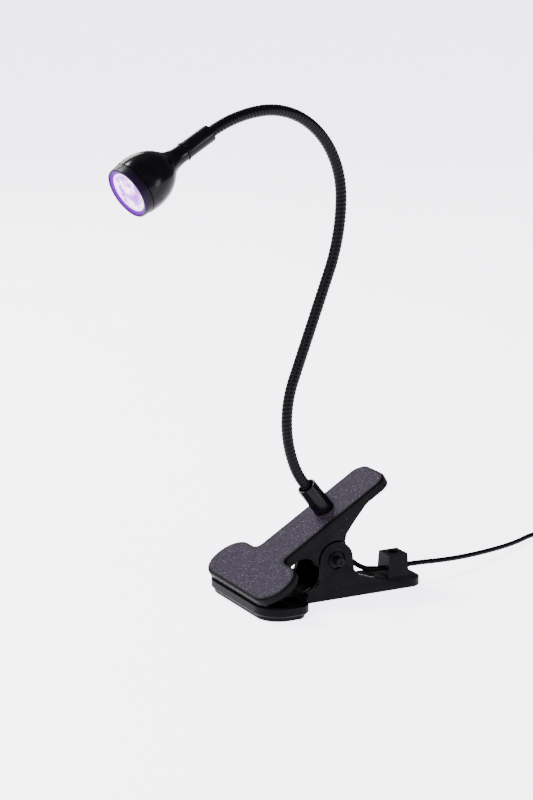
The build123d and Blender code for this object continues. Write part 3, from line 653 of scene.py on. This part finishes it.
def arm_line(count=9000):
    """The arm's middle line: distances, points and ring starts.

    The heading turns evenly along each arc and stays along each straight run, and the points add
    up the steps taken at that heading. The stretches up to the yaw's start lie in the XZ plane, and
    the rest in that plane turned by the head's yaw. A bend's pair is (radius, degrees), or
    (0, straight run)."""
    bends = [r * math.radians(abs(t)) if r else t for r, t in ARM_BENDS]
    lengths = [STRAIGHT_FOOT] + bends + [SOCKET_L]
    turns = [0.0] + [t if r else 0.0 for r, t in ARM_BENDS] + [0.0]
    stations = np.concatenate([[0], np.cumsum(lengths)])
    headings = FERRULE_LEAN + np.radians(np.concatenate([[0], np.cumsum(turns)]))
    at = np.linspace(0, stations[-1], count)
    middle = (at[1:] + at[:-1]) / 2
    heading = np.interp(middle, stations, headings)
    yaw_from = stations[YAW_STATION]
    yaw = np.where(middle > yaw_from, HEAD_YAW, 0.0)
    step = np.stack([np.cos(heading) * np.cos(yaw), np.cos(heading) * np.sin(yaw),
                     np.sin(heading)], 1)
    start = ferrule_base + ferrule_up * HOSE_FOOT
    points = np.vstack([start, start + np.cumsum(step * (at[1] - at[0]), axis=0)])
    side_yaw = np.where(at > yaw_from, HEAD_YAW, 0.0)
    normal = np.stack([-np.sin(side_yaw), np.cos(side_yaw), 0 * at], 1)
    tangent = np.gradient(points, axis=0)
    tangent /= np.linalg.norm(tangent, axis=1, keepdims=True)
    inward = np.cross(tangent, normal)
    across = normal * np.cos(side_yaw)[:, None] + inward * np.sin(side_yaw)[:, None]
    return at, points, across, stations[-2]


def add_arm(finish, lead):
    """The wound hose, one length for each bend, with the lead inside it.

    Its radius dips between the windings:
    R - groove * (1 - |sin(pi * (s / pitch - angle / 2 pi))| ^ 0.7)."""
    at, points, across, sleeve_at = arm_line()
    hinges = np.linspace(FIRST_HINGE, sleeve_at - LAST_HINGE_GAP, HINGE_COUNT)
    ends = np.concatenate([[0], (hinges[1:] + hinges[:-1]) / 2, [at[-1]]])
    rings, steps = 11, 30
    angle = np.linspace(0, 1, steps + 1)[:-1]
    for i, hinge in enumerate(hinges):
        count = int((ends[i + 1] - ends[i]) / HOSE_PITCH * rings)
        s = np.linspace(ends[i], ends[i + 1], count)
        line = np.stack([np.interp(s, at, points[:, k]) for k in range(3)], 1) * MM
        start = np.stack([np.interp(s, at, across[:, k]) for k in range(3)], 1)
        crest = np.abs(np.sin(np.pi * (s[:, None] / HOSE_PITCH - angle))) ** 0.7
        radius = (HOSE_R - HOSE_GROOVE * (1 - crest)) * MM
        caps = {"crest": crest}
        hose = add_tube(f"hose_bend_{i + 1}", line, radius, start, finish, steps, caps, sharp=180)
        wire = add_tube(f"hose_lead_{i + 1}", line[::6], WIRE_R * MM, start[::6], lead, 12)
        names = [f"link_{i + 1}"] if i < HINGE_COUNT - 1 else ["upper_end"]
        names += ["lower_end"] if i == 0 else []
        for piece, slot, part in ((hose, "hose_skin", "hose_"), (wire, "lead_skin", "hose_wire_")):
            dressed(piece, None, [part + n for n in names])
            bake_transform(piece)


# ---- the head ---------------------------------------------------------------------------------
HEAD_ORIGIN, HEAD_DIRECTION = (-74.31, -14.16, 256.27), (-0.8738, -0.1478, -0.4633)
SLEEVE_L, SLEEVE_R = 16.9, 4.65
NECK_Z0, NECK_Z1, SEAM_Z = 18.1, 29.9, 31.6
BALL_R, BALL_Z, BALL_STRETCH = 14.6, 47.5, 20.0
BEZEL_Z, LIP_Z, HEAD_L = 51.6, 55.6, 56.8
WINDOW_R = 10.8


def ball_radius(z):
    """The ball's radius: R * sqrt(1 - ((z - widest) / stretch) ^ 2)."""
    return BALL_R * np.sqrt(1 - ((z - BALL_Z) / BALL_STRETCH) ** 2)


def add_head(black, bezel, ring, lens):
    """The head's shells, as profiles carried round its axis, with every edge rounded."""
    axis = Axis(HEAD_ORIGIN, HEAD_DIRECTION, (0, 1, 0))
    turned("head_sleeve_shell", axis, rounded([
        (3.15, 1.2, 0), (3.15, 0.0, 0.35), (SLEEVE_R, 0.0, 0.4), (SLEEVE_R, SLEEVE_L, 0.25),
        (3.2, SLEEVE_L, 0), (3.2, 20.8, 0), (1.55, 20.8, 0), (1.55, 1.2, 0), (3.15, 1.2, 0)]),
        black, "head", ["head_sleeve"])
    turned("sleeve_collar", axis, rounded([
        (3.2, SLEEVE_L, 0), (SLEEVE_R - 0.15, SLEEVE_L, 0.05),
        (SLEEVE_R - 0.15, SLEEVE_L + 0.22, 0.05), (5.05, SLEEVE_L + 0.22, 0.3),
        (5.05, NECK_Z0, 0.3), (3.2, NECK_Z0, 0), (3.2, SLEEVE_L, 0)]),
        black, "head", ["sleeve_ring"])
    z = np.linspace(NECK_Z0 + 0.3, NECK_Z1 - 0.3, 40)
    share = (z - NECK_Z0) / (NECK_Z1 - NECK_Z0)
    flare = 4.6 + 0.12 * share + 2.48 * share ** 3
    neck = np.vstack([[(3.2, NECK_Z0), (4.35, NECK_Z0)], np.stack([flare, z], 1),
                      [(7.0, NECK_Z1), (5.6, NECK_Z1), (3.4, 24.0), (3.2, NECK_Z0)]])
    turned("neck_flare", axis, neck, black, "head", ["neck_cone"])
    turned("neck_band", axis, rounded([
        (5.6, NECK_Z1, 0), (7.15, NECK_Z1, 0.05), (7.15, NECK_Z1 + 0.3, 0.05),
        (7.75, NECK_Z1 + 0.3, 0.25), (8.75, SEAM_Z - 0.25, 0.2), (8.5, SEAM_Z, 0.05),
        (5.6, SEAM_Z, 0), (5.6, NECK_Z1, 0)]),
        black, "head", ["neck_ring"])
    z = SEAM_Z + (BEZEL_Z - SEAM_Z) * np.sin(np.linspace(0.02, np.pi / 2, 60)) ** 1.2
    ball = np.vstack([[(6.8, SEAM_Z), (8.4, SEAM_Z)], np.stack([ball_radius(z), z], 1)[:-1],
                      [(14.2, BEZEL_Z - 0.12), (14.0, BEZEL_Z), (13.1, BEZEL_Z),
                       (13.1, BEZEL_Z + 1.6), (12.6, BEZEL_Z + 1.6), (12.6, 43.0), (10.8, 43.0),
                       (6.8, 33.2), (6.8, SEAM_Z)]])
    turned("ball_shell", axis, ball, black, "head", ["ball_housing"], steps=160)
    turned("bezel_shell", axis, rounded([
        (13.1, BEZEL_Z + 0.3, 0), (14.15, BEZEL_Z + 0.3, 0.3), (13.65, HEAD_L, 0.35),
        (12.75, HEAD_L, 0.15), (12.75, HEAD_L - 0.5, 0), (12.9, LIP_Z, 0),
        (12.9, BEZEL_Z + 1.6, 0), (13.1, BEZEL_Z + 1.6, 0), (13.1, BEZEL_Z + 0.3, 0)]),
        bezel, "head", ["bezel"], steps=160,
        rim=lambda r, h: np.clip((h - BEZEL_Z - 2) / 3, 0, 1))
    turned("bezel_glow", axis, rounded([
        (12.78, LIP_Z - 0.02, 0), (12.78, HEAD_L - 0.12, 0.2), (11.0, LIP_Z + 0.12, 0.15),
        (WINDOW_R, LIP_Z, 0), (12.78, LIP_Z - 0.02, 0)]),
        ring, "head", steps=160,
        rim=lambda r, h: np.clip((r - WINDOW_R) / 1.9, 0, 1))
    radius = 12.85 * np.sin(np.linspace(0, np.pi / 2, 48))
    dome = LIP_Z - 0.3 + 0.55 * np.clip(1 - (radius / WINDOW_R) ** 2, 0, 1)
    profile = np.vstack([np.stack([radius, dome], 1), [(12.85, LIP_Z - 1.6), (0.0, LIP_Z - 1.6)]])
    turned("lens_window", axis, profile, lens, "head", ["lens"], steps=128,
           rim=lambda r, h: np.clip(r / WINDOW_R, 0, 1))


# ---- the clip ---------------------------------------------------------------------------------
def plate_point(x, y, z):
    """Place on the upper half: x along its plate, z out of its top face."""
    c, s = math.cos(SLOPE), math.sin(SLOPE)
    return np.stack([x * c - z * s, y + 0 * x, PLATE_TOP_Z + x * s + z * c], axis=-1)


def box_distance(x, y, middle, half_x, half_y, corner):
    """Distance to a rectangle with round corners: negative inside."""
    dx = np.abs(x - middle) - (half_x - corner)
    dy = np.abs(y) - (half_y - corner)
    outside = np.hypot(np.maximum(dx, 0), np.maximum(dy, 0))
    return outside + np.minimum(np.maximum(dx, dy), 0) - corner


def plate_distance(x, y):
    """Distance to the top plate's outline: the jaw and the handle, joined by a hollow."""
    rear = JAW_L - JAW_FRONT
    jaw = box_distance(x, y, rear - JAW_L / 2, JAW_L / 2, JAW_W / 2, JAW_CORNER)
    middle, half = (HANDLE_END + rear - 10) / 2, (HANDLE_END - rear + 10) / 2
    handle = box_distance(x, y, middle, half, HANDLE_W / 2, HANDLE_CORNER)
    apart = np.clip(1 - np.abs(jaw - handle) / NECK_CORNER, 0, 1)
    return np.minimum(jaw, handle) - apart ** 2 * NECK_CORNER / 4


def add_panel(finish, inset=1.5, cell=0.42, rise=0.2):
    """The grained top: cells of a square grid that lie inside the outline, less an inset.

    Points just outside are drawn back along the distance's slope onto the border. The height is
    rise * sqrt(depth / 0.35), levelling off, with softened random lumps, and it falls below the
    plate at the border."""
    half_width = JAW_W / 2 + 1
    x, y = np.meshgrid(np.arange(-JAW_FRONT - 1, HANDLE_END + 1, cell),
                       np.arange(-half_width, half_width + 0.1, cell), indexing="ij")
    distance = plate_distance(x, y) + inset
    quads = grid_quads(*x.shape)
    corner_distance = distance.ravel()[quads]
    quads = quads[(corner_distance < cell * 0.9).all(axis=1) & (corner_distance < 0).any(axis=1)]
    slope_x, slope_y = np.gradient(distance, cell)
    steep = np.maximum(np.hypot(slope_x, slope_y), 0.3)
    back = np.where(distance > -cell * 0.4, distance, 0)
    x, y = x - back * slope_x / steep ** 2, y - back * slope_y / steep ** 2
    depth = np.maximum(-(plate_distance(x, y) + inset), 0)
    grain = np.random.default_rng(7).random(x.shape)
    shifted = [np.roll(grain, by, (0, 1)) for by in ((0, 0), (1, 0), (0, 1), (1, 1))]
    soft = (shifted[0] + shifted[1] + shifted[2] + shifted[3]) / 4
    crown = rise * np.clip(depth / 0.35, 0, 1) ** 0.5 - 0.06
    height = crown + 0.16 * (soft - 0.5) * np.clip(depth, 0, 1)
    hole = np.hypot(x - 0.9, y) < FERRULE_R - 0.4
    keep = quads[~hole.ravel()[quads].any(axis=1)]
    used, keep = np.unique(keep, return_inverse=True)
    points = plate_point(x, y, height).reshape(-1, 3)[used] * MM
    border = {"border": depth.ravel()[used]}
    faces = keep.reshape(-1, 4)[:, ::-1]
    panel = add_piece("top_grain_panel", points, faces, finish, 60, border, closed=False)
    return dressed(panel, "upper_half")


def smoothed(node, name, finish, edge=0.25, angle=32):
    """A copy of a CAD piece with its triangles merged and its edges rounded."""
    source = frame["nodes"][node]
    mesh = source.data.copy()
    mesh.name = name
    work = bmesh.new()
    work.from_mesh(mesh)
    bmesh.ops.remove_doubles(work, verts=work.verts, dist=2e-6)
    flat = math.radians(1.0)
    bmesh.ops.dissolve_limit(work, angle_limit=flat, verts=work.verts, edges=work.edges)
    work.to_mesh(mesh)
    work.free()
    mesh.materials.clear()
    mesh.materials.append(finish)
    mesh.shade_smooth()
    mesh.set_sharp_from_angle(angle=math.radians(angle))
    piece = bpy.data.objects.new(name, mesh)
    bpy.context.scene.collection.objects.link(piece)
    bevel = piece.modifiers.new("edge", "BEVEL")
    bevel.width, bevel.segments = edge * MM, 2
    bevel.limit_method, bevel.angle_limit = "ANGLE", math.radians(angle)
    bevel.harden_normals = True
    return dressed(piece, source["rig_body"], [node])


def add_ferrule(finish):
    """The tapered socket on the plate, with a thin rim round its mouth."""
    axis = Axis(ferrule_base, ferrule_up, (0, 1, 0))
    top = FERRULE_R - 0.4
    turned("ferrule_shell", axis, rounded([
        (4.0, -FERRULE_SHANK, 0), (4.0, -0.8, 0), (FERRULE_R, -0.8, 0.0), (FERRULE_R, 0.3, 0.1),
        (top, FERRULE_L, 0.32), (4.3, FERRULE_L, 0.25),
        (4.1, FERRULE_L - 7, 0), (3.05, FERRULE_L - 7, 0),
        (3.05, FERRULE_L - 13, 0), (1.55, FERRULE_L - 13, 0),
        (1.55, -FERRULE_SHANK, 0), (4.0, -FERRULE_SHANK, 0)]),
        finish, "upper_half", ["base_ferrule"], steps=96)


def add_pin(finish):
    """The pivot pin: a plain rod whose ends are domed and dimpled."""
    axis = Axis((0, 0, PIVOT_Z), (0, 1, 0), (1, 0, 0))
    dimple = PIN_END - 0.5
    half = rounded([(0, dimple, 0), (0.9, dimple, 0.15), (1.1, PIN_END, 0.2),
                    (PIN_R, PIN_END, 0.5), (PIN_R, 0, 0)])
    other = half[::-1] * [1, -1]
    turned("pivot_rod", axis, np.vstack([half, other[1:]]), finish, "lower_half",
           ["pivot_pin"], steps=64)


# ---- everything, the camera and the lead first -----------------------------------------------
add_camera()
PLASTIC = moulded_plastic("clip_black", (0.0016, 0.0015, 0.0019), 0.45, spots=0.12)
FINISHES = {
    "clip_plastic": PLASTIC,
    "pad_rubber": ribbed_rubber(),
    "pin_plastic": moulded_plastic("pin_black", (0.004, 0.004, 0.0045), 0.4),
    "bright_steel": worn_metal("zinc_plate", (0.62, 0.62, 0.64), 0.3),
    "spring_steel": worn_metal("oiled_wire", (0.3, 0.3, 0.31), 0.34),
    "black_metal": gloss_black(),
    "hose_skin": hose_black(),
    "lead_skin": lead_black(),
    "lit_lens": lit_lens(),
    "reflector_silver": worn_metal("mirror_plate", (0.85, 0.83, 0.88), 0.12, depth=0.003),
    "led_yellow": moulded_plastic("led_dome", (0.85, 0.8, 0.6), 0.2),
    "board_white": board_mask("board_white", (0.8, 0.8, 0.8)),
    "board_green": board_mask("board_green", (0.03, 0.2, 0.08)),
    "raw_aluminium": worn_metal("bare_aluminium", (0.76, 0.76, 0.78), 0.38),
    "tie_fabric": woven_tie(),
    "switch_plastic": moulded_plastic("switch_black", (0.005, 0.005, 0.0055), 0.36),
    "contact_brass": worn_metal("brass_plate", (0.8, 0.6, 0.28), 0.28),
    "plug_plastic": moulded_plastic("plug_black", (0.005, 0.005, 0.0055), 0.44),
    "plug_metal": worn_metal("nickel_plate", (0.72, 0.71, 0.7), 0.25, brush=(14, 1, 1)),
    "tongue_plastic": moulded_plastic("tongue_white", (0.7, 0.7, 0.68), 0.4),
}
SLOT_OF = {part["node"]: part["material_slot"] for part in frame["record"]["subparts"]}
for node, slot_name in SLOT_OF.items():
    data = frame["nodes"][node].data
    data.materials.clear()
    data.materials.append(FINISHES[slot_name])

EDGES = {"lower_clip": 0.35, "upper_lever": 0.3, "lower_jaw_pad": 0.1, "upper_jaw_pad": 0.1,
         "switch_base": 0.3, "switch_cover": 0.3, "switch_slider": 0.2, "plug_body": 0.3,
         "plug_shell": 0.08, "plug_tongue": 0.1, "plug_contacts": 0.03, "cord_tie": 0.2}
PIECES = {node: smoothed(node, node + "_finished", FINISHES[SLOT_OF[node]], edge)
          for node, edge in EDGES.items()}

add_leads(FINISHES["lead_skin"])
add_lead_loop(FINISHES["lead_skin"])
add_arm(FINISHES["hose_skin"], FINISHES["lead_skin"])
add_head(FINISHES["black_metal"], bezel_black(), violet_ring(), FINISHES["lit_lens"])
add_ferrule(gloss_black("satin_black", (0.0018, 0.0017, 0.0022)))
add_pin(FINISHES["pin_plastic"])
add_panel(eroded_panel())
add_spring(FINISHES["spring_steel"])
add_studio()
